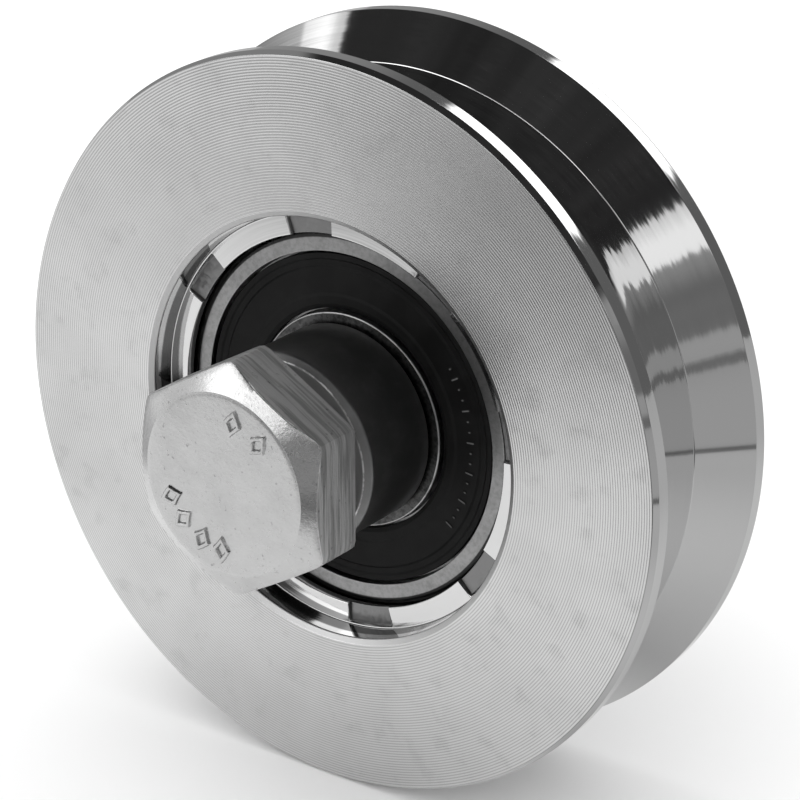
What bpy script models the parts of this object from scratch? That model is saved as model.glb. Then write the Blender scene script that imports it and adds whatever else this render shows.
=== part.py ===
"""Gate wheel: a turned steel wheel with a V groove, on a sealed ball bearing and a hex bolt.

Metres, +Z up. The axle runs along Y through the origin, which lies in the middle of the
wheel's width. The bolt head is at -Y, the nut at +Y, and the rail runs along X underneath.
"""

import math

import bmesh
import bpy

MM = 0.001
CLEAR = 0.3 * MM  # gap between pieces that touch

# Wheel
WHEEL_R = 45 * MM
WHEEL_W = 24 * MM
RIM_CHAMFER = 0.75 * MM
RIM_CHAMFER_FALL = 0.43 * MM
LAND_W = 1.75 * MM
GROOVE_SLOPE = math.radians(45)
GROOVE_BOTTOM_R = 2.5 * MM
RECESS_MARGIN = 2.3 * MM  # recess radius beyond the bearing's
RECESS_BEVEL_R = 0.7 * MM
RECESS_BEVEL_DEPTH = 0.4 * MM
RECESS_BOW_R = 0.25 * MM  # the bevel's middle, out from the recess and down from the face
RECESS_BOW_DEPTH = 0.12 * MM
RECESS_DRAFT = 0.3 * MM
LIP_OVER_RING = 0.6 * MM
LIP_T = 1.1 * MM
SHOULDER_OVER_RING = 2.2 * MM
SHOULDER_T = 2.1 * MM

# Stake marks that close the lip over the bearing
STAKES = 8
STAKE_ANGLE = math.radians(15)
STAKE_START = math.radians(10)
STAKE_DEPTH = 0.4 * MM
STAKE_MARGIN = 0.4 * MM
STAKE_STEPS = 3

# Bearing
BEARING_R = 23.5 * MM
BEARING_BORE_R = 10 * MM
BEARING_W = 14 * MM
BEARING_SHIFT = 0.5 * MM  # middle of the bearing ahead of the middle of the wheel
BALLS = 8
BALL_R = 3.969 * MM
PITCH_R = 16.75 * MM
OUTER_LAND_R = 19.1 * MM
OUTER_SEAL_R = 20.5 * MM
OUTER_SEAL_DEPTH = 1.7 * MM
OUTER_CORNER_R = 1.5 * MM
INNER_LAND_R = 14.4 * MM
INNER_FACE_R = 13.2 * MM
INNER_SEAL_DEPTH = 1.4 * MM
INNER_CORNER_R = 0.9 * MM

# Seals
SEAL_SUNK = 0.3 * MM
SEAL_T = 0.8 * MM
SEAL_LIP_W = 0.8 * MM
SEAL_LIP_DROP = 0.2 * MM
SEAL_CHANNEL_W = 0.9 * MM
SEAL_CHANNEL_DEPTH = 0.25 * MM
SEAL_EDGE_DEPTH = 0.125 * MM

# Cage
CAGE_T = 0.8 * MM
CAGE_W = 2.9 * MM
RIVET_R = 0.6 * MM
RIVET_HEAD_R = 1.1 * MM
RIVET_TOP_R = 0.88 * MM
RIVET_HEAD_H = 0.45 * MM

# Axle bolt, spacers, washers and nut
BOLT_R = 8 * MM
BOLT_L = 70 * MM
BOLT_END_CHAMFER = 1.2 * MM
HEX_AF = 25 * MM
HEAD_H = 8.4 * MM
HEAD_TOP_R = 10.95 * MM
HEX_CHAMFER = math.radians(30)
SPACER_R = 12 * MM
SPACER_L = 12 * MM  # from the bearing's face to the spacer's end
SPACER_CHAMFER = 0.8 * MM
SPIGOT_GAP = 0.2 * MM
PLATE_GAP = 3 * MM  # room for one plate of the gate's bracket, at each end
WASHER_R = 15 * MM
WASHER_T = 3 * MM
SPRING_R = 13.4 * MM
SPRING_T = 3.5 * MM
SPRING_RISE = 0.9 * MM
SPRING_SLIT = math.radians(7)
NUT_H = 13 * MM

# Turning steps
WHEEL_STEPS = 72
RING_STEPS = 48
RIVET_STEPS = 8
POCKET_STEPS = 8

# Places along the axle
BEARING_MID = -BEARING_SHIFT
BEARING_FRONT = BEARING_MID - BEARING_W / 2
BEARING_BACK = BEARING_MID + BEARING_W / 2
FRONT_SHELF = BEARING_FRONT - CLEAR - LIP_T
BACK_SHELF = BEARING_BACK + CLEAR + SHOULDER_T
FRONT_SPACER_END = BEARING_FRONT - SPACER_L
BACK_SPACER_END = BEARING_BACK + SPACER_L
HEAD_SEAT = FRONT_SPACER_END - PLATE_GAP
HEAD_TOP = HEAD_SEAT - HEAD_H
WASHER_SEAT = BACK_SPACER_END + PLATE_GAP
SPRING_SEAT = WASHER_SEAT + WASHER_T + CLEAR
NUT_SEAT = SPRING_SEAT + SPRING_T + SPRING_RISE + CLEAR
BOLT_END = HEAD_SEAT + BOLT_L

RECESS_R = BEARING_R + RECESS_MARGIN
HEX_CORNER_R = HEX_AF / 2 / math.cos(math.radians(30))
HEX_BLANK_R = HEX_CORNER_R * 1.2  # the chamfer's cone ends here, clear of the corners
BOLT_HOLE_R = BOLT_R + CLEAR
RACE_R = BALL_R + CLEAR  # section radius of both raceways and of the cage's pockets


def clear_scene():
    for obj in list(bpy.data.objects):
        bpy.data.objects.remove(obj, do_unlink=True)


def make_material(name, colour, roughness, metallic):
    material = bpy.data.materials.new(name)
    material.use_nodes = True
    shader = material.node_tree.nodes["Principled BSDF"]
    shader.inputs["Base Color"].default_value = (*colour, 1)
    shader.inputs["Roughness"].default_value = roughness
    shader.inputs["Metallic"].default_value = metallic
    material.diffuse_color = (*colour, 1)
    return material


def make_empty(name, parent=None):
    empty = bpy.data.objects.new(name, None)
    bpy.context.scene.collection.objects.link(empty)
    empty.parent = parent
    return empty


def add_object(name, bm, material, parent, location=(0, 0, 0)):
    bmesh.ops.recalc_face_normals(bm, faces=bm.faces)
    mesh = bpy.data.meshes.new(name)
    bm.to_mesh(mesh)
    bm.free()
    mesh.shade_smooth()
    mesh.set_sharp_from_angle(angle=math.radians(25))
    mesh.materials.append(material)
    obj = bpy.data.objects.new(name, mesh)
    obj.location = location
    obj.parent = parent
    bpy.context.scene.collection.objects.link(obj)
    return obj


def turned_mesh(outline, steps, solid=False):
    """An outline of (radius, y) points turned a full circle about the Y axis.

    A solid one starts and ends on the axis, and any other is a closed loop.
    """
    bm = bmesh.new()
    verts = [bm.verts.new((r, y, 0)) for r, y in outline]
    ends = verts[1:] if solid else verts[1:] + verts[:1]
    edges = [bm.edges.new(pair) for pair in zip(verts, ends)]
    bmesh.ops.spin(
        bm, geom=verts + edges, axis=(0, 1, 0), cent=(0, 0, 0), angle=2 * math.pi, steps=steps
    )
    bmesh.ops.remove_doubles(bm, verts=bm.verts, dist=1e-6)
    return bm


def loft_mesh(loops, ring):
    """Bridges loops of points that have one count each. A ring closes on its first loop."""
    bm = bmesh.new()
    rows = [[bm.verts.new(point) for point in loop] for loop in loops]
    count = len(loops[0])
    nexts = rows[1:] + rows[:1] if ring else rows[1:]
    for row, after in zip(rows, nexts):
        for i in range(count):
            j = (i + 1) % count
            bm.faces.new((row[i], row[j], after[j], after[i]))
    if not ring:
        bm.faces.new(rows[0])
        bm.faces.new(rows[-1])
    return bm


def arc(centre_r, centre_y, radius, start, end, steps):
    """Points on a circle in the (radius, y) plane. Degrees, from outward towards +Y."""
    angles = [math.radians(start + (end - start) * i / steps) for i in range(steps + 1)]
    return [(centre_r + radius * math.cos(a), centre_y + radius * math.sin(a)) for a in angles]


def mirrored(half):
    """A half outline, given at y >= 0, followed by its image at y <= 0."""
    return half + [(r, -y) for r, y in reversed(half)]


def shifted(outline, y):
    return [(r, at + y) for r, at in outline]


def cut(obj, tool, operation):
    """Boolean with a hidden tool."""
    tool.hide_render = True
    tool.display_type = "WIRE"
    modifier = obj.modifiers.new(operation.lower(), "BOOLEAN")
    modifier.operation = operation
    modifier.object = tool


def around(angle, radius, y):
    return (radius * math.cos(angle), y, radius * math.sin(angle))


def build_wheel(steel, parent):
    """Wheel body: V groove outside, bearing seat inside, recess at both faces."""
    half_w = WHEEL_W / 2
    groove_y = half_w - RIM_CHAMFER - LAND_W
    tangent_y = GROOVE_BOTTOM_R * math.sin(GROOVE_SLOPE)
    tangent_r = WHEEL_R - (groove_y - tangent_y) * math.tan(GROOVE_SLOPE)
    centre_r = tangent_r + GROOVE_BOTTOM_R * math.cos(GROOVE_SLOPE)
    swing = math.degrees(GROOVE_SLOPE)
    bottom = arc(centre_r, 0, GROOVE_BOTTOM_R, 180 + swing, 180 - swing, 8)
    side = [
        (WHEEL_R, groove_y),
        (WHEEL_R, half_w - RIM_CHAMFER),
        (WHEEL_R - RIM_CHAMFER_FALL, half_w),
        (RECESS_R + RECESS_BEVEL_R, half_w),
        (RECESS_R + RECESS_BOW_R, half_w - RECESS_BOW_DEPTH),
        (RECESS_R, half_w - RECESS_BEVEL_DEPTH),
    ]
    front = [(r, -y) for r, y in reversed(side)]
    shelf_r = RECESS_R - RECESS_DRAFT
    seat_r = BEARING_R + CLEAR
    lip_r = BEARING_R - LIP_OVER_RING
    shoulder_r = BEARING_R - SHOULDER_OVER_RING
    inside = [
        (shelf_r, BACK_SHELF),
        (shoulder_r, BACK_SHELF),
        (shoulder_r, BEARING_BACK + CLEAR),
        (seat_r, BEARING_BACK + CLEAR),
        (seat_r, BEARING_FRONT - CLEAR),
        (lip_r, BEARING_FRONT - CLEAR),
        (lip_r, FRONT_SHELF),
        (shelf_r, FRONT_SHELF),
    ]
    outline = bottom + side + inside + front
    body = add_object("wheel_body", turned_mesh(outline, WHEEL_STEPS), steel, parent)

    inner_r = lip_r - STAKE_MARGIN
    outer_r = shelf_r - STAKE_MARGIN
    for i in range(STAKES):
        middle = STAKE_START + 2 * math.pi * i / STAKES
        loops = []
        for step in range(STAKE_STEPS + 1):
            angle = middle + (step / STAKE_STEPS - 0.5) * STAKE_ANGLE
            loops.append([
                around(angle, inner_r, FRONT_SHELF - STAKE_DEPTH),
                around(angle, outer_r, FRONT_SHELF - STAKE_DEPTH),
                around(angle, outer_r, FRONT_SHELF + STAKE_DEPTH),
                around(angle, inner_r, FRONT_SHELF + STAKE_DEPTH),
            ])
        tool = add_object(f"stake_tool_{i + 1}", loft_mesh(loops, ring=False), steel, parent)
        cut(body, tool, "DIFFERENCE")


def race_half_width(land_r):
    """Half width of a raceway of section radius RACE_R where it meets its land."""
    return math.sqrt(RACE_R**2 - (land_r - PITCH_R) ** 2)


def build_rings(steel, wheel, axle):
    half_w = BEARING_W / 2
    edge = race_half_width(OUTER_LAND_R)
    angle = math.degrees(math.atan2(edge, OUTER_LAND_R - PITCH_R))
    corner = arc(
        BEARING_R - OUTER_CORNER_R, half_w - OUTER_CORNER_R, OUTER_CORNER_R, 90, 0, 2
    )
    race = arc(PITCH_R, 0, RACE_R, 0, angle, 3)
    half = race + [
        (OUTER_LAND_R, half_w - OUTER_SEAL_DEPTH),
        (OUTER_SEAL_R, half_w - OUTER_SEAL_DEPTH),
        (OUTER_SEAL_R, half_w),
    ]
    outline = mirrored(half + corner)[:-1]
    bm = turned_mesh(shifted(outline, BEARING_MID), RING_STEPS)
    add_object("bearing_outer_ring", bm, steel, wheel)

    edge = race_half_width(INNER_LAND_R)
    angle = math.degrees(math.atan2(edge, INNER_LAND_R - PITCH_R))
    race = arc(PITCH_R, 0, RACE_R, 180, angle, 3)
    corner = arc(
        BEARING_BORE_R + INNER_CORNER_R, half_w - INNER_CORNER_R, INNER_CORNER_R, 90, 180, 2
    )
    half = race + [
        (INNER_LAND_R, half_w - INNER_SEAL_DEPTH),
        (INNER_FACE_R, half_w - INNER_SEAL_DEPTH),
        (INNER_FACE_R, half_w),
    ]
    outline = mirrored(half + corner)[:-1]
    bm = turned_mesh(shifted(outline, BEARING_MID), RING_STEPS)
    add_object("bearing_inner_ring", bm, steel, axle)


def build_balls(steel, cage):
    for i in range(BALLS):
        bm = bmesh.new()
        bmesh.ops.create_icosphere(bm, subdivisions=2, radius=BALL_R)
        place = around(2 * math.pi * i / BALLS, PITCH_R, BEARING_MID)
        add_object(f"ball_{i + 1}", bm, steel, cage, place)


def cage_loops(sign):
    """Cross sections of one cage half, in order round the bearing.

    The ribbon is flat between the balls and follows an arc over each ball: its inner line
    is the arc of radius RACE_R about the ball, and its outer line lies CAGE_T outside it.
    """
    flat = CLEAR / 2
    pitch = 2 * math.pi * PITCH_R / BALLS
    lift = math.asin(flat / RACE_R)
    swings = [lift + (math.pi - 2 * lift) * k / POCKET_STEPS for k in range(POCKET_STEPS + 1)]
    inner = [(-RACE_R * math.cos(a), RACE_R * math.sin(a)) for a in swings]
    outer_r = RACE_R + CAGE_T
    lift = math.asin((flat + CAGE_T) / outer_r)
    swings = [lift + (math.pi - 2 * lift) * k / POCKET_STEPS for k in range(POCKET_STEPS + 1)]
    outer = [(-outer_r * math.cos(a), outer_r * math.sin(a)) for a in swings]
    inner = [(-pitch / 2, flat)] + inner
    outer = [(-pitch / 2, flat + CAGE_T)] + outer
    loops = []
    for ball in range(BALLS):
        middle = 2 * math.pi * ball / BALLS
        for (s_in, y_in), (s_out, y_out) in zip(inner, outer):
            low, high = PITCH_R - CAGE_W / 2, PITCH_R + CAGE_W / 2
            a_in, a_out = middle + s_in / PITCH_R, middle + s_out / PITCH_R
            loops.append([
                around(a_in, low, BEARING_MID + sign * y_in),
                around(a_in, high, BEARING_MID + sign * y_in),
                around(a_out, high, BEARING_MID + sign * y_out),
                around(a_out, low, BEARING_MID + sign * y_out),
            ])
    return loops


def build_cage(steel, cage):
    """Two ribbons that hold the balls apart, and the rivets that join them."""
    halves = []
    for name, sign in (("cage_front_half", -1), ("cage_back_half", 1)):
        halves.append(add_object(name, loft_mesh(cage_loops(sign), ring=True), steel, cage))
    flat = CLEAR / 2 + CAGE_T + CLEAR
    half = [(RIVET_R, flat), (RIVET_HEAD_R, flat), (RIVET_TOP_R, flat + RIVET_HEAD_H)]
    outline = [(r, -y) for r, y in reversed([*half, (0, flat + RIVET_HEAD_H)])]
    outline += [*half, (0, flat + RIVET_HEAD_H)]
    hole_r = RIVET_R + CLEAR
    hole = [(0, -2 * flat), (hole_r, -2 * flat), (hole_r, 2 * flat), (0, 2 * flat)]
    for i in range(BALLS):
        place = around(2 * math.pi * (i + 0.5) / BALLS, PITCH_R, BEARING_MID)
        rivet = turned_mesh(outline, RIVET_STEPS, solid=True)
        add_object(f"cage_rivet_{i + 1}", rivet, steel, cage, place)
        tool = turned_mesh(hole, RIVET_STEPS, solid=True)
        tool = add_object(f"rivet_tool_{i + 1}", tool, steel, cage, place)
        for ribbon in halves:
            cut(ribbon, tool, "DIFFERENCE")


def build_seals(rubber, wheel):
    """One rubber seal at each face, held by the outer ring."""
    outer_r = OUTER_SEAL_R - CLEAR
    inner_r = INNER_FACE_R + CLEAR
    top = BEARING_W / 2 - SEAL_SUNK
    low = top - SEAL_T
    channel_r = outer_r - 2 * SEAL_CHANNEL_W
    outline = [
        (inner_r, low),
        (inner_r, top - SEAL_LIP_DROP),
        (inner_r + SEAL_LIP_W, top),
        (channel_r, top),
        (channel_r + SEAL_CHANNEL_DEPTH, top - SEAL_CHANNEL_DEPTH),
        (channel_r + SEAL_CHANNEL_W, top - SEAL_CHANNEL_DEPTH),
        (outer_r, top - SEAL_EDGE_DEPTH),
        (outer_r, low),
    ]
    for name, sign in (("front_seal", -1), ("back_seal", 1)):
        points = [(r, BEARING_MID + sign * y) for r, y in outline]
        add_object(name, turned_mesh(points, RING_STEPS), rubber, wheel)


def build_spacers(steel, axle):
    """Stepped bushes: a collar outside the bearing and a spigot in its bore."""
    spigot_r = BEARING_BORE_R - CLEAR
    face = BEARING_W / 2 + CLEAR
    end = BEARING_W / 2 + SPACER_L
    outline = [
        (BOLT_HOLE_R, SPIGOT_GAP),
        (spigot_r, SPIGOT_GAP),
        (spigot_r, face),
        (SPACER_R, face),
        (SPACER_R, end - SPACER_CHAMFER),
        (SPACER_R - SPACER_CHAMFER, end),
        (BOLT_HOLE_R, end),
    ]
    for name, sign in (("front_spacer", -1), ("back_spacer", 1)):
        points = [(r, BEARING_MID + sign * y) for r, y in outline]
        add_object(name, turned_mesh(points, RING_STEPS), steel, axle)


def hex_prism(start, end):
    """Hexagonal bar along Y with one corner straight up."""
    angles = [math.radians(90 + 60 * i) for i in range(6)]
    return loft_mesh([[around(a, HEX_CORNER_R, y) for a in angles] for y in (start, end)], False)


def build_bolt(zinc, axle):
    drop = (HEX_BLANK_R - HEAD_TOP_R) * math.tan(HEX_CHAMFER)
    blank = [
        (0, HEAD_TOP),
        (HEAD_TOP_R, HEAD_TOP),
        (HEX_BLANK_R, HEAD_TOP + drop),
        (HEX_BLANK_R, HEAD_SEAT + HEAD_H),
        (0, HEAD_SEAT + HEAD_H),
    ]
    inside_head = HEAD_SEAT - HEAD_H / 2
    shank = [
        (0, inside_head),
        (BOLT_R, inside_head),
        (BOLT_R, BOLT_END - BOLT_END_CHAMFER),
        (BOLT_R - BOLT_END_CHAMFER, BOLT_END),
        (0, BOLT_END),
    ]
    bolt = add_object("axle_bolt", hex_prism(HEAD_TOP - HEAD_H, HEAD_SEAT), zinc, axle)
    tool = add_object("head_tool", turned_mesh(blank, RING_STEPS, solid=True), zinc, axle)
    cut(bolt, tool, "INTERSECT")
    tool = add_object("shank_tool", turned_mesh(shank, RING_STEPS, solid=True), zinc, axle)
    cut(bolt, tool, "UNION")


def build_nut(zinc, axle):
    end = NUT_SEAT + NUT_H
    drop = (HEX_BLANK_R - HEAD_TOP_R) * math.tan(HEX_CHAMFER)
    blank = [
        (BOLT_HOLE_R, NUT_SEAT),
        (BOLT_HOLE_R, end),
        (HEAD_TOP_R, end),
        (HEX_BLANK_R, end - drop),
        (HEX_BLANK_R, NUT_SEAT + drop),
        (HEAD_TOP_R, NUT_SEAT),
    ]
    nut = add_object("hex_nut", hex_prism(NUT_SEAT - NUT_H, end + NUT_H), zinc, axle)
    tool = add_object("nut_tool", turned_mesh(blank, RING_STEPS), zinc, axle)
    cut(nut, tool, "INTERSECT")


def build_washers(zinc, axle):
    edge = WASHER_SEAT + WASHER_T
    outline = [
        (BOLT_HOLE_R, WASHER_SEAT),
        (WASHER_R, WASHER_SEAT),
        (WASHER_R, edge),
        (BOLT_HOLE_R, edge),
    ]
    add_object("flat_washer", turned_mesh(outline, RING_STEPS), zinc, axle)

    sweep = 2 * math.pi - SPRING_SLIT
    loops = []
    for i in range(RING_STEPS + 1):
        part = i / RING_STEPS
        angle = math.pi / 2 + SPRING_SLIT / 2 + sweep * part
        low = SPRING_SEAT + SPRING_RISE * part
        loops.append([
            around(angle, BOLT_HOLE_R, low),
            around(angle, SPRING_R, low),
            around(angle, SPRING_R, low + SPRING_T),
            around(angle, BOLT_HOLE_R, low + SPRING_T),
        ])
    add_object("spring_washer", loft_mesh(loops, ring=False), zinc, axle)


def main():
    clear_scene()
    turned_steel = make_material("turned_steel", (0.62, 0.62, 0.62), 0.25, 1)
    bearing_steel = make_material("bearing_steel", (0.5, 0.5, 0.51), 0.22, 1)
    dark_steel = make_material("dark_steel", (0.12, 0.12, 0.12), 0.3, 1)
    zinc = make_material("zinc_plate", (0.55, 0.55, 0.56), 0.4, 1)
    rubber = make_material("seal_rubber", (0.02, 0.02, 0.02), 0.5, 0)

    axle = make_empty("axle")
    wheel = make_empty("wheel", axle)
    cage = make_empty("cage", axle)

    build_wheel(turned_steel, wheel)
    build_rings(bearing_steel, wheel, axle)
    build_balls(bearing_steel, cage)
    build_cage(bearing_steel, cage)
    build_seals(rubber, wheel)
    build_spacers(dark_steel, axle)
    build_bolt(zinc, axle)
    build_nut(zinc, axle)
    build_washers(zinc, axle)


main()
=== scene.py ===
"""Gate wheel: the finished surfaces and materials, a plain studio and the camera.

Metres, +Z up. The axle runs along Y through the origin, the bolt head is at -Y and the wheel
stands on a floor at its lowest point. Each turned piece is an outline of (radius, y) corners
carried round the axle; the hexagons, the marks and the thread are functions of the angle.
"""

import math

import bpy
import numpy as np
from bpy.props import FloatProperty, FloatVectorProperty, IntProperty, PointerProperty
from mathutils import Matrix, Vector


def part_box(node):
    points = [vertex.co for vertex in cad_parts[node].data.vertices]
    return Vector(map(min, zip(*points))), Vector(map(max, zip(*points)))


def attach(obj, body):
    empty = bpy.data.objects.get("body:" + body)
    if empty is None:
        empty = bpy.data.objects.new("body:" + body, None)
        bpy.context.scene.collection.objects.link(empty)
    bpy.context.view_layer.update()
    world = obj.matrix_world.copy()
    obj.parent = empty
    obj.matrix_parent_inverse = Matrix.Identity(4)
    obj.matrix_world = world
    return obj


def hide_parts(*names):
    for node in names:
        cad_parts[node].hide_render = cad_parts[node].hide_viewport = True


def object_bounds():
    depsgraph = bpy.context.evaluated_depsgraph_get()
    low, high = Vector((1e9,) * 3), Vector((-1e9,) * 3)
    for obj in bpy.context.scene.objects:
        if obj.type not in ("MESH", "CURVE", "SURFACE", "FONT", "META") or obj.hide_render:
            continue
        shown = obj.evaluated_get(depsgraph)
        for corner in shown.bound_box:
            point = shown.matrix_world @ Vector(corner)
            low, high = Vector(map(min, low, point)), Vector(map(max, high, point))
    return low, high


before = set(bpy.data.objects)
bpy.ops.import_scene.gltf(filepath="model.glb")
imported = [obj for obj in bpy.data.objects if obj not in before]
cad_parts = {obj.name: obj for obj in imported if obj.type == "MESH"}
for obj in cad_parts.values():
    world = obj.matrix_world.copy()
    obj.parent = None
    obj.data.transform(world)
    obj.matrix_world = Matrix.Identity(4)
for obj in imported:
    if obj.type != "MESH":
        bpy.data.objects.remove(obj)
CAD_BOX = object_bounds()

bl_info = {
    "name": "Gate wheel",
    "version": (1, 0, 0),
    "blender": (4, 5, 0),
    "location": "View3D > Sidebar > Gate wheel",
    "description": "Builds the finished surfaces of a grooved gate wheel on its axle bolt",
    "category": "Add Mesh",
}

MM = 0.001
TURN = 2 * math.pi

# Places read from the frame
WHEEL_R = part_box("wheel_body")[1].x
WHEEL_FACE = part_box("wheel_body")[1].y
RING_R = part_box("bearing_outer_ring")[1].x
RING_FRONT, RING_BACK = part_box("bearing_outer_ring")[0].y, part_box("bearing_outer_ring")[1].y
RING_MID = (RING_FRONT + RING_BACK) / 2
SEAL_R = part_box("front_seal")[1].x
SPACER_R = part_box("front_spacer")[1].x
FRONT_SPACER_END, BACK_SPACER_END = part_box("front_spacer")[0].y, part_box("back_spacer")[1].y
HEAD_TOP, BOLT_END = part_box("axle_bolt")[0].y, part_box("axle_bolt")[1].y
HEX_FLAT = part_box("axle_bolt")[1].x
WASHER_LOW, WASHER_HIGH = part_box("flat_washer")
SPRING_LOW, SPRING_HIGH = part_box("spring_washer")
NUT_LOW, NUT_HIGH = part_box("hex_nut")
FLOOR = CAD_BOX[0].z

# Wheel body, in the frame's own dimensions
RIM_CHAMFER = 0.75 * MM
RIM_CHAMFER_FALL = 0.43 * MM
LAND_W = 1.75 * MM
GROOVE_BOTTOM_R = 2.5 * MM
CREASE_DOWN = 5.13 * MM  # from the rim down to the line where the two cuts of a slope meet
CREASE_W = 0.08 * MM
INNER_SLOPE = math.tan(math.radians(43))
RECESS_R = RING_R + 2.3 * MM
RECESS_BEVEL = 0.7 * MM
RECESS_BEVEL_DEPTH = 0.4 * MM
RECESS_DRAFT = 0.3 * MM
SEAT_GAP = 0.3 * MM
LIP_T = 1.1 * MM
LIP_OVER_RING = 0.6 * MM
SHOULDER_T = 2.1 * MM
SHOULDER_OVER_RING = 2.2 * MM
FRONT_SHELF = RING_FRONT - SEAT_GAP - LIP_T
BACK_SHELF = RING_BACK + SEAT_GAP + SHOULDER_T
SHELF_Y = min(-FRONT_SHELF, BACK_SHELF)
STAKES = 8
STAKE_START = math.radians(10)
STAKE_HALF = math.radians(7.5)
STAKE_RAMP = math.radians(0.45)
STAKE_MARGIN = 0.4 * MM
STAKE_FADE = 0.2 * MM
STAKE_SLANT = 0.14  # how much deeper a stake mark gets for each millimetre inward
SHELF_STEP = 0.25 * MM

# Bearing
BALLS = 8
RING_BORE_R = 10 * MM
RING_CORNER = 1.5 * MM
RING_SEAL_R = 20.5 * MM
RING_SEAL_DEPTH = 1.7 * MM
RING_LAND_R = 19.1 * MM
INNER_CORNER = 0.9 * MM
INNER_FACE_R = 13.2 * MM
INNER_LAND_R = 14.4 * MM
INNER_SEAL_DEPTH = 1.4 * MM
PITCH_R = 16.75 * MM
RACE_R = 4.269 * MM
BALL_R = 3.969 * MM
SEAL_BORE_R = INNER_FACE_R + SEAT_GAP
SEAL_SUNK = 0.3 * MM
SEAL_T = 0.8 * MM
SEAL_LIP_R = SEAL_BORE_R + 1.9 * MM
SEAL_CHANNEL_R = SEAL_R - 1.8 * MM
SEAL_CHANNEL_DEPTH = 0.3 * MM
SEAL_RIM_DEPTH = 0.12 * MM
SEAL_TOP = RING_BACK - RING_MID - SEAL_SUNK  # measured from the bearing's middle
SEAL_MARKS_FROM, SEAL_MARKS_TO = 16.2 * MM, 18.2 * MM
SEAL_MARKS_R = 17.3 * MM
SEAL_MARK_W = 0.36 * MM
SEAL_DOT, SEAL_TICK = 0.5 * MM, 1.2 * MM
MARK_EDGE = 0.12 * MM

# Spacers, bolt and nut
HOLE_R = 8.3 * MM
SPIGOT_R = 9.7 * MM
SPIGOT_GAP = 0.2 * MM
SPACER_CHAMFER = 0.8 * MM
BRACKET_GAP = 3 * MM
HEAD_SEAT = FRONT_SPACER_END - BRACKET_GAP
HEAD_TOP_R = 10.95 * MM
HEAD_RIM_DROP = 0.06 * MM
HEAD_MARK_R = 8 * MM
HEAD_MARK_L, HEAD_MARK_W = 3.6 * MM, 2.6 * MM
HEAD_MARK_EDGE = 0.22 * MM
HEAD_MARK_LINE = 0.55 * MM
HEX_CHAMFER = math.tan(math.radians(30))
BOLT_R = 8 * MM
THREAD_START = 9.5 * MM
THREAD_DEPTH = 1.0 * MM
THREAD_SUNK = 0.03 * MM
THREAD_ROWS = 10  # to one turn
BOLT_END_CHAMFER = 1.2 * MM
SPRING_T = 3.5 * MM
SPRING_SLIT = math.radians(7)
SPRING_TAPER = 0.12 * MM

TIGHT = 0.04 * MM  # rows beside a rounded edge keep the shading of the flat next to it flat
SHARP = math.radians(38)
HEX_SHARP = math.radians(20)
FINE = "fine_"  # starts the names of materials that the frame has a plain one of
BLEND_LOW, BLEND_HIGH = 0.05 * MM, 0.02 * MM  # where a mask by place starts and is full


def smooth(low, high, value):
    """0 below low, 1 above high and the S curve 3t^2 - 2t^3 between them."""
    t = np.clip((value - low) / (high - low), 0, 1)
    return t * t * (3 - 2 * t)


def rounded(corners, closed=True, steps=4):
    """Rows of (radius, y) along an outline of (radius, y, rounding) corners.

    A corner with a rounding becomes the arc that touches both of its straight runs: its centre
    lies on the line that halves the corner, at rounding / sin(half the corner's angle).
    """
    spots = np.array([corner[:2] for corner in corners])
    rows = []
    for i, (r, y, rounding) in enumerate(corners):
        here = spots[i]
        if rounding == 0 or (not closed and i in (0, len(corners) - 1)):
            rows.append(here[None])
            continue
        before, after = spots[i - 1] - here, spots[(i + 1) % len(corners)] - here
        before_long, after_long = np.linalg.norm(before), np.linalg.norm(after)
        before, after = before / before_long, after / after_long
        half = np.arccos(np.clip(before @ after, -1, 1)) / 2
        reach = rounding / np.tan(half)
        halving = (before + after) / np.linalg.norm(before + after)
        centre = here + halving * rounding / np.sin(half)
        first, last = here + before * reach - centre, here + after * reach - centre
        sweep = math.pi - 2 * half
        angle = np.linspace(0, sweep, max(steps, int(sweep / math.radians(8))) + 1)[:, None]
        arc = centre + (np.sin(sweep - angle) * first + np.sin(angle) * last) / np.sin(sweep)
        lead = here + before * min(reach + TIGHT, before_long * 0.6)
        tail = here + after * min(reach + TIGHT, after_long * 0.6)
        rows.append(np.vstack([lead, arc, tail]))
    return np.vstack(rows)


def filled(outline, start, end, step):
    """The outline with more rows on its straight runs between two radii, at most step apart."""
    rows = [outline[:1]]
    for here, after in zip(outline, outline[1:]):
        middle, long = (here[0] + after[0]) / 2, np.linalg.norm(after - here)
        inside = start < middle < end or (here[0] <= start and after[0] >= end)
        count = max(1, int(np.ceil(long / step))) if inside else 1
        share = np.linspace(0, 1, count + 1)[1:, None]
        rows.append(here + (after - here) * share)
    return np.vstack(rows)


def angles(count, windows=()):
    """Column angles round the axle: count even ones, and each window's own (centre, half, count)."""
    sets = [np.linspace(0, TURN, count, endpoint=False)]
    sets += [np.linspace(centre - half, centre + half, more) % TURN for centre, half, more in windows]
    return np.unique(np.round(np.concatenate(sets), 5))


def turned(radius, y, angle):
    """Points x = radius cos(angle), y = y, z = radius sin(angle), rows by columns."""
    radius, y, angle = np.broadcast_arrays(radius, y, angle)
    return np.stack((radius * np.cos(angle), y, radius * np.sin(angle)), axis=-1)


def turned_outline(outline, angle):
    return turned(outline[:, :1], outline[:, 1:], angle[None])


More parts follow.
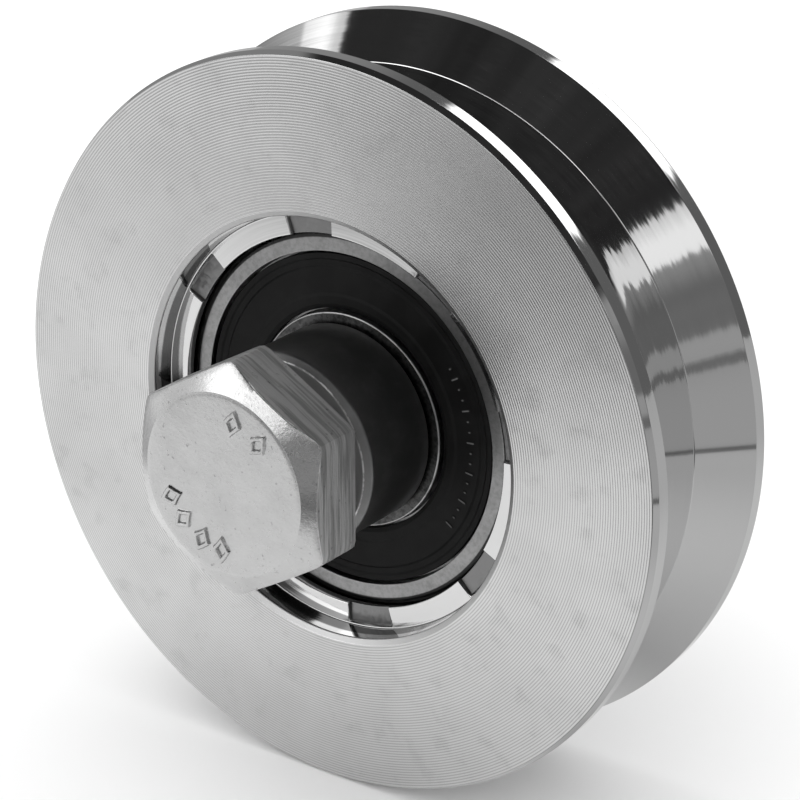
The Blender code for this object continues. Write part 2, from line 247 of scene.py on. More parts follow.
def skin(name, grid, ring=False, poles=(False, False), sharp=SHARP):
    """A mesh over a grid of points, rows by columns, that closes round its columns.

    A ring also closes from its last row to its first. A pole is a first or last row that is one
    point, which is kept once. If the volume that the faces enclose comes out negative, they
    are turned round.
    """
    rows, count = grid.shape[:2]
    index = np.arange(rows * count).reshape(rows, count)
    if poles[0]:
        index[0] = index[0, 0]
    if poles[1]:
        index[-1] = index[-1, 0]
    near, far = (index, np.roll(index, -1, 0)) if ring else (index[:-1], index[1:])
    quads = np.stack((near, np.roll(near, -1, 1), np.roll(far, -1, 1), far), axis=-1)
    used, quads = np.unique(quads.reshape(-1, 4), return_inverse=True)
    quads = quads.reshape(-1, 4)
    points = grid.reshape(-1, 3)[used]
    a, b, c, d = points[quads].transpose(1, 0, 2)
    volume = np.sum(a * np.cross(b, c)) + np.sum(a * np.cross(c, d))
    quads = quads[:, ::-1] if volume < 0 else quads
    kept = quads != np.roll(quads, 1, axis=1)
    corners = kept.sum(axis=1)
    mesh = bpy.data.meshes.new(name)
    mesh.vertices.add(len(points))
    mesh.vertices.foreach_set("co", points.astype(np.float32).ravel())
    mesh.loops.add(int(corners.sum()))
    mesh.loops.foreach_set("vertex_index", quads[kept].astype(np.int32))
    mesh.polygons.add(len(quads))
    mesh.polygons.foreach_set("loop_start", (np.cumsum(corners) - corners).astype(np.int32))
    mesh.update(calc_edges=True)
    mesh.validate()
    mesh.shade_smooth()
    mesh.set_sharp_from_angle(angle=sharp)
    return mesh


def place(name, mesh, material, body, slot, *nodes):
    """Puts a piece in the scene, on its body, with its finish, in place of its frame nodes."""
    piece = bpy.data.objects.new(name, mesh)
    bpy.context.scene.collection.objects.link(piece)
    mesh.materials.append(material)
    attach(piece, body)
    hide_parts(*nodes)
    return piece


class Wire:
    """An output socket. Arithmetic on it adds Math nodes to its tree."""

    def __init__(self, nodes, socket):
        self.nodes, self.socket = nodes, socket

    def maths(self, operation, *others):
        return self.nodes.add("Math", {"operation": operation}, dict(enumerate((self, *others))))

    def __add__(self, other):
        return self.maths("ADD", other)

    __radd__ = __add__

    def __mul__(self, other):
        return self.maths("MULTIPLY", other)

    __rmul__ = __mul__

    def __sub__(self, other):
        return self.maths("SUBTRACT", other)

    def __rsub__(self, other):
        return self.nodes.add("Math", {"operation": "SUBTRACT"}, {0: other, 1: self})

    def __truediv__(self, other):
        return self.maths("DIVIDE", other)

    def __pow__(self, other):
        return self.maths("POWER", other)

    def above(self, low, high):
        """0 below low, 1 above high, smooth between."""
        settings = {"interpolation_type": "SMOOTHSTEP"}
        return self.nodes.add("MapRange", settings, {0: self, 1: low, 2: high})

    def between(self, low, high, edge):
        """1 from low to high, falling to 0 over edge on both sides."""
        return self.above(low - edge, low) * (1 - self.above(high, high + edge))

    def clipped(self):
        return self.maths("MAXIMUM", 0.0).maths("MINIMUM", 1.0)

    def output(self, name):
        return Wire(self.nodes, self.socket.node.outputs[name])


class Nodes:
    """A node tree, to which a node is added by its type, its settings and its inputs."""

    def __init__(self, tree):
        self.tree = tree

    def feed(self, node, inputs):
        for key, value in inputs.items():
            if isinstance(value, Wire):
                self.tree.links.new(value.socket, node.inputs[key])
            else:
                node.inputs[key].default_value = value

    def add(self, kind, settings=None, inputs=None, output=0):
        node = self.tree.nodes.new("ShaderNode" + kind)
        for name, value in (settings or {}).items():
            setattr(node, name, value)
        self.feed(node, inputs or {})
        return Wire(self, node.outputs[output])

    def vector(self, operation, *inputs, output=0):
        settings = {"operation": operation}
        return self.add("VectorMath", settings, dict(enumerate(inputs)), output)

    def split(self, wire):
        parts = self.add("SeparateXYZ", None, {0: wire})
        return parts, parts.output("Y"), parts.output("Z")

    def joined(self, x, y, z):
        return self.add("CombineXYZ", None, {0: x, 1: y, 2: z})

    def noise(self, vector, scale, detail=2, rough=0.5):
        """Noise from 0 to 1, mostly between 0.3 and 0.7."""
        inputs = {"Vector": vector, "Scale": scale, "Detail": detail, "Roughness": rough}
        return self.add("TexNoise", None, inputs)

    def colour(self, share, low, high):
        """The colour low where share is 0 and high where it is 1."""
        settings = {"data_type": "RGBA"}
        return self.add("Mix", settings, {0: share, 6: (*low, 1), 7: (*high, 1)}, output=2)

    def world_normal(self, vector):
        settings = {"vector_type": "NORMAL", "convert_from": "OBJECT", "convert_to": "WORLD"}
        unit = self.vector("NORMALIZE", vector)
        return self.add("VectorTransform", settings, {0: unit})


def new_finish(name, colour, metallic):
    """A material with its node tree and its shader, and the object's own coordinates."""
    material = bpy.data.materials.new(FINE + name)
    material.use_nodes = True
    material.diffuse_color = (*colour, 1)
    shader = material.node_tree.nodes["Principled BSDF"]
    shader.inputs["Metallic"].default_value = metallic
    nodes = Nodes(material.node_tree)
    return material, nodes, shader, nodes.add("TexCoord", output="Object")


def shaded(colour, share):
    return tuple(min(1, part * share) for part in colour)


def turned_frame(nodes, spot):
    """Radius from the axle, distance from the middle plane, and the unit radial vector."""
    x, y, z = nodes.split(spot)
    radius = (x * x + z * z) ** 0.5
    radial = nodes.vector("NORMALIZE", nodes.joined(x, 0.0, z))
    return radius, y, radial


def leaned(nodes, spot, radial, tilt, lean=0.0):
    """World normal, leaned by tilt along the turned profile and by lean away from the axle.

    The direction along the profile is the normal crossed with the direction round the axle.
    """
    normal = spot.output("Normal")
    around = nodes.vector("CROSS_PRODUCT", (0, 1, 0), radial)
    along = nodes.vector("CROSS_PRODUCT", normal, around)
    along = nodes.add("VectorMath", {"operation": "SCALE"}, {0: along, "Scale": tilt})
    away = nodes.add("VectorMath", {"operation": "SCALE"}, {0: radial, "Scale": lean})
    return nodes.world_normal(nodes.vector("ADD", nodes.vector("ADD", normal, along), away))


def ring_noise(nodes, along, radial, frequency, change, detail=2, rough=0.5):
    """Noise in rings: frequency along the profile and slow change round the axle."""
    x, _, z = nodes.split(radial)
    return nodes.noise(nodes.joined(along * frequency, x * change, z * change), 1, detail, rough)


def turned_steel(look):
    """Bright steel off the lathe: tool marks in rings on the faces, a polished groove. The colour
    carries painted shade in the tool marks' valleys, on the recess wall, on the recess bevel and on
    the groove's inner slope.
    """
    material, nodes, shader, spot = new_finish("turned_steel", look.steel, 1)
    radius, y, radial = turned_frame(nodes, spot)
    width = y.maths("ABSOLUTE")
    along = radius + width
    face = width.above(WHEEL_FACE - BLEND_LOW, WHEEL_FACE - BLEND_HIGH)
    recess = 1 - radius.above(RECESS_R + RECESS_BEVEL - 0.1 * MM, RECESS_R + RECESS_BEVEL)
    bevel = recess * radius.above(RECESS_R - 0.05 * MM, RECESS_R + 0.05 * MM)
    wall = recess * radius.above(RECESS_R - RECESS_DRAFT - 0.1 * MM, RECESS_R - RECESS_DRAFT)
    wall = wall * (1 - width.above(WHEEL_FACE - 1.6 * MM, WHEEL_FACE - 1.3 * MM))
    lip_r, shelf_r = RING_R - LIP_OVER_RING, RECESS_R - RECESS_DRAFT
    stake = y.between(FRONT_SHELF + 0.12 * MM, FRONT_SHELF + MM, 0.06 * MM)
    stake = stake * radius.between(lip_r + 0.06 * MM, shelf_r - 0.3 * MM, 0.04 * MM)
    shelf = recess * (1 - stake) * width.above(SHELF_Y - BLEND_LOW, SHELF_Y - BLEND_HIGH)

    saw = (radius / look.tool_pitch).maths("FRACT") * 2 - 1
    # The valleys of the tool marks are painted darker below: painted shade.
    valley = saw.maths("ABSOLUTE").above(0.35, 1.0)
    strength = ring_noise(nodes, radius, radial, 180, 0.6)
    fine = ring_noise(nodes, along, radial, 3500, 1.2, 2, 0.6) - 0.5
    streak = ring_noise(nodes, along, radial, 1400, 1.6, 3, 0.65) - 0.5
    cloud = nodes.noise(spot, 90, 3, 0.6)
    smudge = nodes.noise(spot, 260, 4, 0.6).above(0.52, 0.72)

    groove = (1 - face) * (1 - recess)
    crease_r = WHEEL_R - CREASE_DOWN
    inner = groove * (1 - radius.above(crease_r - BLEND_LOW, crease_r))
    tilt = face * saw * (0.6 + 0.8 * strength) * look.tool_depth
    tilt = tilt + groove * (streak * (0.09 + inner * 0.14) + fine * 0.03)
    tilt = tilt + recess * fine * 0.06 + stake * (nodes.noise(spot, 1800, 2, 0.5) - 0.3) * 0.5
    # Painted shade in the colour: the tool marks' valleys, the recess wall, the recess bevel and the
    # groove's inner slope are darkened. Cloud and smudge are stains, the shelf is a little darker and
    # the stake marks are darker.
    tone_and_painted_shade = face * (0.07 + 0.1 * cloud.above(0.3, 0.7) + 0.12 * smudge + 0.6 * valley)
    tone_and_painted_shade = tone_and_painted_shade + stake * 1.15 + shelf * 0.05 + wall * 1.3 + bevel * 0.4 + inner * 0.3
    rough = 0.05 + face * (0.12 + smudge * 0.05) + stake * 0.3 + bevel * 0.35 + cloud * 0.03
    nodes.feed(shader, {
        "Normal": leaned(nodes, spot, radial, tilt, face * look.face_lean),
        "Base Color": nodes.colour(
            ((tone_and_painted_shade + 0.35) * 0.5).clipped(),
            shaded(look.steel, 1.15), shaded(look.steel, 0.05),
        ),
        "Roughness": rough,
    })
    return material


def bearing_steel(look):
    """Ground ring steel: grinding lines round the axle, crossed by faint marks.

    The inner ring's face is painted dark as painted shade up to its corner, where a broken line is
    painted lighter as a painted highlight; the outer ring's rounded corner is painted dark as painted
    shade.
    """
    material, nodes, shader, spot = new_finish("bearing_steel", look.bearing, 1)
    radius, y, radial = turned_frame(nodes, spot)
    fine = ring_noise(nodes, radius + y, radial, 5200, 14, 3, 0.7) - 0.5
    cross = nodes.noise(spot, 1900, 3, 0.7)
    cloud = nodes.noise(spot, 320, 4, 0.6)
    # The inner ring's face, painted dark: painted shade.
    painted_shade_face = 1 - radius.above(INNER_FACE_R - 0.24 * MM, INNER_FACE_R - 0.16 * MM)
    # A broken line at the inner ring's corner, painted lighter: a painted highlight.
    bright = radius.between(INNER_FACE_R - 0.2 * MM, INNER_FACE_R + 0.1 * MM, 0.03 * MM)
    bright = bright * nodes.noise(spot, 700, 3, 0.6).above(0.38, 0.55)
    # The outer ring's rounded corner, painted dark: painted shade.
    corner = radius.above(RING_R - RING_CORNER + 0.1 * MM, RING_R - RING_CORNER + 0.3 * MM)
    share = cloud.above(0.4, 0.7) * 0.1 + cross.above(0.4, 0.65) * 0.15 + painted_shade_face * 0.6 + corner
    nodes.feed(shader, {
        "Normal": leaned(nodes, spot, radial, fine * 0.3),
        "Base Color": nodes.colour(
            (share + 0.2 - bright * 0.5).clipped(),
            look.bearing, shaded(look.bearing, 0.1),
        ),
        "Roughness": 0.24 + cloud * 0.12 + cross * 0.06,
    })
    return material


def dark_steel(look):
    """Spacer steel, blackened, glossy and turned; its end face is painted lighter as a painted
    reflection, and a broken line at the chamfer's inner edge is painted lighter as a painted
    highlight.
    """
    material, nodes, shader, spot = new_finish("dark_steel", look.dark, 1)
    radius, y, radial = turned_frame(nodes, spot)
    fine = ring_noise(nodes, radius + y, radial, 3000, 3, 3, 0.6) - 0.5
    cloud = nodes.noise(spot, 240, 4, 0.6)
    reach = (y - RING_MID).maths("ABSOLUTE")
    length = BACK_SPACER_END - RING_MID
    # The end face is painted lighter: a painted reflection.
    end = reach.above(length - 0.1 * MM, length - 0.03 * MM)
    # A broken line at the chamfer's inner edge is painted lighter: a painted highlight.
    painted_highlight_line = radius.between(SPACER_R - SPACER_CHAMFER, SPACER_R - 0.7 * MM, 0.05 * MM)
    painted_highlight_line = painted_highlight_line * reach.above(length - 0.6 * MM, length - 0.35 * MM)
    painted_highlight_line = painted_highlight_line * nodes.noise(spot, 900, 3, 0.6).above(0.35, 0.6)
    chamfer = reach.above(length - SPACER_CHAMFER, length - 0.6 * MM) * (1 - end)
    share = cloud.above(0.4, 0.7) * 0.1 + painted_highlight_line * 0.7 + end * 0.5
    nodes.feed(shader, {
        "Normal": leaned(nodes, spot, radial, fine * 0.08),
        "Base Color": nodes.colour(share.maths("MINIMUM", 1.0), look.dark, shaded(look.steel, 1.2)),
        "Roughness": 0.24 + cloud * 0.14 + chamfer * 0.15,
        "Metallic": 0.97 - end * 0.2,
    })
    return material


def zinc_plate(look):
    """Zinc on forged and rolled steel: a fine grain, draw streaks across the flats and specks; the
    hexagon's flats are painted lighter than the head's face as painted light.
    """
    material, nodes, shader, spot = new_finish("zinc_plate", look.zinc, 1)
    radius, y, radial = turned_frame(nodes, spot)
    grain = nodes.noise(spot, 2600, 3, 0.65)
    lumps = nodes.noise(spot, 620, 2, 0.5)
    cloud = nodes.noise(spot, 170, 4, 0.6)
    speck = nodes.noise(spot, 1500, 2, 0.5).above(0.66, 0.74)
    _, lean, _ = nodes.split(spot.output("Normal"))
    side = radius.above(HEX_FLAT - 0.4 * MM, HEX_FLAT - 0.1 * MM)
    side = side * (1 - lean.maths("ABSOLUTE").above(0.4, 0.6))
    streak = ring_noise(nodes, y, radial, 1500, 1.0, 3, 0.6)
    height = grain * 0.5 + lumps * 0.5 + side * streak * 2.4
    share = 0.46 + speck * 0.4 + cloud.above(0.35, 0.75) * 0.12
    # The hexagon's flats are painted lighter than the face: painted light. The streaks on them are
    # draw streaks.
    share = share + side * (streak.above(0.42, 0.62) * 0.6 - 0.4)
    nodes.feed(shader, {
        "Normal": nodes.add("Bump", None, {
            "Strength": 0.6, "Distance": 0.07 * MM, "Height": height,
        }),
        "Base Color": nodes.colour(
            share.maths("MINIMUM", 1.0), shaded(look.zinc, 1.35), shaded(look.zinc, 0.5)
        ),
        "Roughness": 0.14 + grain * 0.14 + lumps * 0.08 + side * 0.1,
        "Metallic": 1 - side * 0.14,
    })
    return material


def seal_rubber(look):
    """Black moulded rubber, slightly mottled, with a soft sheen; the tops of the moulded marks are
    painted light grey as a painted glint.
    """
    material, nodes, shader, spot = new_finish("seal_rubber", look.rubber, 0)
    radius, y, radial = turned_frame(nodes, spot)
    grain = nodes.noise(spot, 2200, 3, 0.6)
    cloud = nodes.noise(spot, 200, 4, 0.6)
    rings = ring_noise(nodes, radius, radial, 2400, 2, 2, 0.6)
    reach = (y - RING_MID).maths("ABSOLUTE")
    # The tops of the moulded marks are painted light grey: a painted glint.
    mark = reach.above(SEAL_TOP - 0.05 * MM, SEAL_TOP)
    mark = mark * radius.between(SEAL_MARKS_FROM, SEAL_MARKS_TO, 0.1 * MM)
    nodes.feed(shader, {
        "Specular IOR Level": 0.14,
        "Normal": nodes.add("Bump", None, {
            "Strength": 0.25, "Distance": 0.04 * MM, "Height": grain * 0.7 + rings * 0.3,
        }),
        "Base Color": nodes.colour(
            cloud.above(0.35, 0.7) * 0.04 + mark * 0.96, look.rubber, shaded(look.rubber, 60)
        ),
        "Roughness": 0.42 + cloud * 0.15 + grain * 0.06,
    })
    return material


FINISHES = {
    "turned_steel": turned_steel,
    "bearing_steel": bearing_steel,
    "dark_steel": dark_steel,
    "zinc_plate": zinc_plate,
    "seal_rubber": seal_rubber,
}


def finish(name):
    """The fine material of that name, made when it is first asked for."""
    made = bpy.data.materials.get(FINE + name)
    return made or FINISHES[name](bpy.context.scene.gate_wheel_looks)


class GateWheelShapes(bpy.types.PropertyGroup):
    columns: IntProperty(
        name="Columns", description="Faces round the wheel body", default=304, min=64, max=1024
    )
    edge: FloatProperty(
        name="Edge", description="Rounding of the wheel's sharp edges",
        default=0.08 * MM, min=0.01 * MM, max=0.3 * MM, unit="LENGTH", precision=5,
    )
    stake_depth: FloatProperty(
        name="Stake depth", description="How far the stake marks are sunk in the lip",
        default=0.4 * MM, min=0, max=0.8 * MM, unit="LENGTH", precision=5,
    )
    mark_height: FloatProperty(
        name="Mark height", description="How far the marks stand out of the bolt head",
        default=0.3 * MM, min=0, max=0.4 * MM, unit="LENGTH", precision=5,
    )
    seal_mark_height: FloatProperty(
        name="Seal mark height", description="How far the moulded marks stand out of a seal",
        default=0.12 * MM, min=0, max=0.25 * MM, unit="LENGTH", precision=5,
    )
    thread_pitch: FloatProperty(
        name="Thread pitch", description="Distance between two turns of the bolt's thread",
        default=2 * MM, min=1 * MM, max=3 * MM, unit="LENGTH", precision=5,
    )


class GateWheelLooks(bpy.types.PropertyGroup):
    steel: FloatVectorProperty(
        name="Turned steel", description="Colour of the wheel body",
        subtype="COLOR", size=3, min=0, max=1, default=(0.62, 0.62, 0.62),
    )
    bearing: FloatVectorProperty(
        name="Bearing steel", description="Colour of the bearing's rings and balls",
        subtype="COLOR", size=3, min=0, max=1, default=(0.34, 0.34, 0.34),
    )
    dark: FloatVectorProperty(
        name="Dark steel", description="Colour of the blackened spacers",
        subtype="COLOR", size=3, min=0, max=1, default=(0.2, 0.2, 0.2),
    )
    zinc: FloatVectorProperty(
        name="Zinc", description="Colour of the bolt, the nut and the washers",
        subtype="COLOR", size=3, min=0, max=1, default=(0.5, 0.5, 0.5),
    )
    rubber: FloatVectorProperty(
        name="Rubber", description="Colour of the seals",
        subtype="COLOR", size=3, min=0, max=1, default=(0.0016, 0.0016, 0.0016),
    )
    tool_pitch: FloatProperty(
        name="Tool pitch", description="Distance between two tool marks on the faces",
        default=0.33 * MM, min=0.05 * MM, max=1 * MM, unit="LENGTH", precision=5,
    )
    tool_depth: FloatProperty(
        name="Tool tilt", description="Steepest slope of a tool mark", default=0.16, min=0, max=0.5
    )
    face_lean: FloatProperty(
        name="Face lean", description="Mean slope of the tool marks away from the axle",
        default=0.05, min=-0.2, max=0.2,
    )


class GateWheelStudio(bpy.types.PropertyGroup):
    azimuth: FloatProperty(
        name="Azimuth", description="Camera angle round the wheel, from the front",
        default=math.radians(36), subtype="ANGLE",
    )
    elevation: FloatProperty(
        name="Elevation", description="Camera angle above the floor",
        default=math.radians(22.6), subtype="ANGLE",
    )
    distance: FloatProperty(
        name="Distance", description="From the camera to the point it looks at",
        default=0.37603, min=0.1, unit="LENGTH", precision=5,
    )
    aim: FloatVectorProperty(
        name="Aim", description="Point that the camera looks at",
        default=(0.00143, 0.00102, 0), size=3, subtype="TRANSLATION", unit="LENGTH", precision=5,
    )
    lens: FloatProperty(name="Lens", description="Focal length in millimetres", default=142.9)
    floor: FloatVectorProperty(
        name="Floor", description="Colour of the floor",
        subtype="COLOR", size=3, min=0, max=1, default=(0.9, 0.9, 0.9),
    )
    light: FloatProperty(
        name="Light", description="Strength of the soft light all round", default=1.25, min=0
    )


def stake_share(radius, angle):
    """1 on the floor of a stake mark and 0 off it: steps in the angle and in the radius."""
    period = TURN / STAKES
    off = np.abs((angle - STAKE_START + period / 2) % period - period / 2)
    across = 1 - smooth(STAKE_HALF - STAKE_RAMP, STAKE_HALF, off)
    inner, outer = RING_R - LIP_OVER_RING, RECESS_R - RECESS_DRAFT - STAKE_MARGIN
    inside = smooth(inner - STAKE_FADE, inner + 0.1 * STAKE_FADE, radius)
    return across * inside * (1 - smooth(outer, outer + 0.75 * STAKE_FADE, radius))


def wheel_outline(edge):
    """Corners of the wheel body's section, from the groove's bottom round the back and the bore."""
    slope_y = WHEEL_FACE - RIM_CHAMFER - LAND_W
    crease_r = WHEEL_R - CREASE_DOWN
    crease_y = slope_y - CREASE_DOWN
    notch = CREASE_W / 2
    bottom_r = crease_r - crease_y * INNER_SLOPE
    flat = 2 * notch + TIGHT
    outside = [
        (crease_r - TIGHT * INNER_SLOPE, crease_y - TIGHT, 0),
        (crease_r, crease_y, 0),
        (crease_r + notch * 0.1, crease_y + notch * 1.1, 0),
        (crease_r + 2 * notch, crease_y + 2 * notch, 0),
        (crease_r + flat, crease_y + flat, 0),
        (WHEEL_R, slope_y, edge),
        (WHEEL_R, WHEEL_FACE - RIM_CHAMFER, edge * 1.5),
        (WHEEL_R - RIM_CHAMFER_FALL, WHEEL_FACE, edge * 1.5),
        (RECESS_R + RECESS_BEVEL, WHEEL_FACE, edge),
        (RECESS_R, WHEEL_FACE - RECESS_BEVEL_DEPTH, edge * 3),
    ]
    front = [(r, -y, rounding) for r, y, rounding in reversed(outside)]
    shelf_r = RECESS_R - RECESS_DRAFT
    seat_r = RING_R + SEAT_GAP
    lip_r = RING_R - LIP_OVER_RING
    shoulder_r = RING_R - SHOULDER_OVER_RING
    inside = [
        (shelf_r, BACK_SHELF, edge * 2),
        (shoulder_r, BACK_SHELF, edge * 2),
        (shoulder_r, RING_BACK + SEAT_GAP, 0),
        (seat_r, RING_BACK + SEAT_GAP, 0),
        (seat_r, RING_FRONT - SEAT_GAP, 0),
        (lip_r, RING_FRONT - SEAT_GAP, 0),
        (lip_r, FRONT_SHELF, edge * 2),
        (shelf_r, FRONT_SHELF, edge * 2),
    ]
    bottom = [(bottom_r, 0, GROOVE_BOTTOM_R)]
    return rounded(bottom + outside + inside + front)


class GATE_WHEEL_OT_wheel_body(bpy.types.Operator):
    """Turned wheel body with its groove, recesses and stake marks"""

    bl_idname = "gate_wheel.wheel_body"
    bl_label = "Wheel body"

    def execute(self, context):
        shapes = context.scene.gate_wheel_shapes
        shelf_r = RECESS_R - RECESS_DRAFT
        shelf = (RING_R - MM, shelf_r - 0.01 * MM)
        outline = filled(wheel_outline(shapes.edge), *shelf, SHELF_STEP)
        period = TURN / STAKES
        windows = [
            (STAKE_START + i * period + side * STAKE_HALF, STAKE_RAMP, 4)
            for i in range(STAKES) for side in (-1, 1)
        ]
        angle = angles(shapes.columns, windows)[None]
        radius, y = outline[:, :1], outline[:, 1:]
        on_shelf = (np.abs(y - FRONT_SHELF) < 0.2 * MM) * (radius < shelf_r)
        slant = 1 + STAKE_SLANT * (RING_R + MM - radius) / MM
        sunk = on_shelf * stake_share(radius, angle) * shapes.stake_depth * slant
        grid = turned(radius, y + sunk, angle)
        mesh = skin("wheel_body_fine", grid, ring=True)
        place("wheel_body_fine", mesh, finish("turned_steel"), "wheel", "turned_steel", "wheel_body")
        return {"FINISHED"}


def race(land_r, side):
    """A raceway's arc from one land edge to the other, as (radius, y) from the bearing's middle."""
    half = math.asin(math.sqrt(RACE_R**2 - (land_r - PITCH_R) ** 2) / RACE_R)
    swing = np.linspace(-half, half, 25)
    return [(PITCH_R + side * RACE_R * math.cos(a), RACE_R * math.sin(a), 0) for a in swing]


def shifted(corners):
    return [(r, RING_MID + y, rounding) for r, y, rounding in corners]


class GATE_WHEEL_OT_bearing(bpy.types.Operator):
    """Bearing rings and balls"""

    bl_idname = "gate_wheel.bearing"
    bl_label = "Bearing"

    def execute(self, context):
        steel = finish("bearing_steel")
        angle = angles(256)
        half = RING_BACK - RING_MID
        corners = race(RING_LAND_R, 1) + [
            (RING_LAND_R, half - RING_SEAL_DEPTH, 0.1 * MM),
            (RING_SEAL_R, half - RING_SEAL_DEPTH, 0.1 * MM),
            (RING_SEAL_R, half, 0.12 * MM),
            (RING_R, half, RING_CORNER),
            (RING_R, -half, RING_CORNER),
            (RING_SEAL_R, -half, 0.12 * MM),
            (RING_SEAL_R, RING_SEAL_DEPTH - half, 0.1 * MM),
            (RING_LAND_R, RING_SEAL_DEPTH - half, 0.1 * MM),
        ]
        mesh = skin("outer_ring", turned_outline(rounded(shifted(corners)), angle), ring=True)
        place("outer_ring", mesh, steel, "wheel", "bearing_steel", "bearing_outer_ring")

        corners = race(INNER_LAND_R, -1) + [
            (INNER_LAND_R, half - INNER_SEAL_DEPTH, 0.1 * MM),
            (INNER_FACE_R, half - INNER_SEAL_DEPTH, 0.1 * MM),
            (INNER_FACE_R, half, 0.22 * MM),
            (RING_BORE_R, half, INNER_CORNER),
            (RING_BORE_R, -half, INNER_CORNER),
            (INNER_FACE_R, -half, 0.22 * MM),
            (INNER_FACE_R, INNER_SEAL_DEPTH - half, 0.1 * MM),
            (INNER_LAND_R, INNER_SEAL_DEPTH - half, 0.1 * MM),
        ]
        mesh = skin("inner_ring", turned_outline(rounded(shifted(corners)), angle), ring=True)
        place("inner_ring", mesh, steel, "axle", "bearing_steel", "bearing_inner_ring")

        across = np.linspace(0, math.pi, 33)[:, None]
        ball = turned(BALL_R * np.sin(across), -BALL_R * np.cos(across), angles(64)[None])
        for i in range(BALLS):
            turn = TURN * i / BALLS
            middle = (PITCH_R * math.cos(turn), RING_MID, PITCH_R * math.sin(turn))
            mesh = skin(f"fine_ball_{i + 1}", ball + middle, poles=(True, True))
            node = f"ball_{i + 1}"
            place(f"fine_ball_{i + 1}", mesh, steel, f"{node}_roll", "bearing_steel", node)
        return {"FINISHED"}


class GATE_WHEEL_OT_cage(bpy.types.Operator):
    """Finish of the cage halves and rivets, whose shapes stay as they are"""

    bl_idname = "gate_wheel.cage"
    bl_label = "Cage"

    def execute(self, context):
        for name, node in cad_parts.items():
            if name.startswith("cage_"):
                for material_slot in node.material_slots:
                    material_slot.material = finish("bearing_steel")
        return {"FINISHED"}


def bar_mark(u, v, long, wide, edge):
    """1 on a bar with round ends: u along it, v across it, falling over its edge."""
    along = np.maximum(np.abs(u) - (long - wide) / 2, 0)
    return 1 - smooth(wide / 2 - edge, wide / 2, np.hypot(along, v))


def diamond_mark(u, v, long, wide, edge):
    """1 on a diamond's outline: |u| wide / long + |v| lies between half the width and a line less."""
    off = np.abs(u) * wide / long + np.abs(v)
    inside = wide / 2 - HEAD_MARK_LINE
    return (1 - smooth(wide / 2 - edge, wide / 2, off)) * smooth(inside - edge, inside, off)


def marks_on(radius, angle, marks, edge, shape):
    """The tallest of the marks at a point. Each is (radius, angle, length outward, width)."""
    share = np.zeros(np.broadcast_shapes(radius.shape, angle.shape))
    for at_r, at_angle, long, wide in marks:
        off = (angle - at_angle + math.pi) % TURN - math.pi
        share = np.maximum(share, shape(radius - at_r, at_r * off, long, wide, edge))
    return share


def seal_marks():
    """Plain moulded dots and ticks in a row round part of the seal."""
    row = np.radians(np.linspace(-34, 34, 17))
    lengths = [SEAL_DOT if i % 3 else SEAL_TICK for i in range(len(row))]
    return [(SEAL_MARKS_R, turn, long, SEAL_MARK_W) for turn, long in zip(row, lengths)]


class GATE_WHEEL_OT_seals(bpy.types.Operator):
    """Rubber seals of the bearing"""

    bl_idname = "gate_wheel.seals"
    bl_label = "Seals"

    def execute(self, context):
        height = context.scene.gate_wheel_shapes.seal_mark_height
        low = SEAL_TOP - SEAL_T
        floor, rim = SEAL_TOP - SEAL_CHANNEL_DEPTH, SEAL_TOP - SEAL_RIM_DEPTH
        corners = [
            (SEAL_BORE_R, low, 0),
            (SEAL_BORE_R, SEAL_TOP - 0.22 * MM, 0.08 * MM),
            (SEAL_BORE_R + 0.55 * MM, SEAL_TOP, 0.25 * MM),
            (SEAL_BORE_R + 1.5 * MM, SEAL_TOP, 0.25 * MM),
            (SEAL_LIP_R, SEAL_TOP - height, 0.2 * MM),
            (SEAL_CHANNEL_R, SEAL_TOP - height, 0.2 * MM),
            (SEAL_CHANNEL_R + 0.25 * MM, floor, 0.15 * MM),
            (SEAL_CHANNEL_R + 0.9 * MM, floor, 0.15 * MM),
            (SEAL_CHANNEL_R + 1.15 * MM, rim, 0.15 * MM),
            (SEAL_R, rim, 0.15 * MM),
            (SEAL_R, low, 0),
        ]
        outline = filled(rounded(corners), SEAL_LIP_R, SEAL_CHANNEL_R, 0.1 * MM)
        angle = angles(256, [(math.radians(-3), math.radians(42), 420)])[None]
        radius, y = outline[:, :1], outline[:, 1:]
        flat = (radius > SEAL_LIP_R) * (radius < SEAL_CHANNEL_R) * (y > (SEAL_TOP + low) / 2)
        y = y + flat * marks_on(radius, angle, seal_marks(), MARK_EDGE, bar_mark) * height
        for name, node, side in (("front_cover", "front_seal", -1), ("back_cover", "back_seal", 1)):
            mesh = skin(name, turned(radius, RING_MID + side * y, angle), ring=True)
            place(name, mesh, finish("seal_rubber"), "wheel", "seal_rubber", node)
        return {"FINISHED"}


class GATE_WHEEL_OT_spacers(bpy.types.Operator):
    """Stepped spacers between the bearing and the gate's bracket"""

    bl_idname = "gate_wheel.spacers"
    bl_label = "Spacers"

    def execute(self, context):
        face = RING_BACK - RING_MID + SEAT_GAP
        end = BACK_SPACER_END - RING_MID
        corners = [
            (HOLE_R, SPIGOT_GAP, 0.15 * MM),
            (SPIGOT_R, SPIGOT_GAP, 0.3 * MM),
            (SPIGOT_R, face, 0.1 * MM),
            (SPACER_R, face, 0.3 * MM),
            (SPACER_R, end - SPACER_CHAMFER, 0.6 * MM),
            (SPACER_R - SPACER_CHAMFER, end, 0.4 * MM),
            (HOLE_R, end, 0.15 * MM),
        ]
        outline = rounded(corners)
        for name, node, side in (
            ("front_bush", "front_spacer", -1), ("back_bush", "back_spacer", 1)
        ):
            grid = turned_outline(outline * (1, side) + (0, RING_MID), angles(256))
            mesh = skin(name, grid, ring=True)
            place(name, mesh, finish("dark_steel"), "axle", "dark_steel", node)
        return {"FINISHED"}


def hexagon(angle, flat, corner=44):
    """Radius of a hexagon with one corner at +Z, its corners slightly rounded.

    It is flat / (sum of |cos|^corner over the three pairs of flats)^(1 / corner).
    """
    turns = np.radians([0, 60, 120])[:, None, None]
    total = np.sum(np.abs(np.cos(angle - turns)) ** corner, axis=0)
    return flat / total ** (1 / corner)


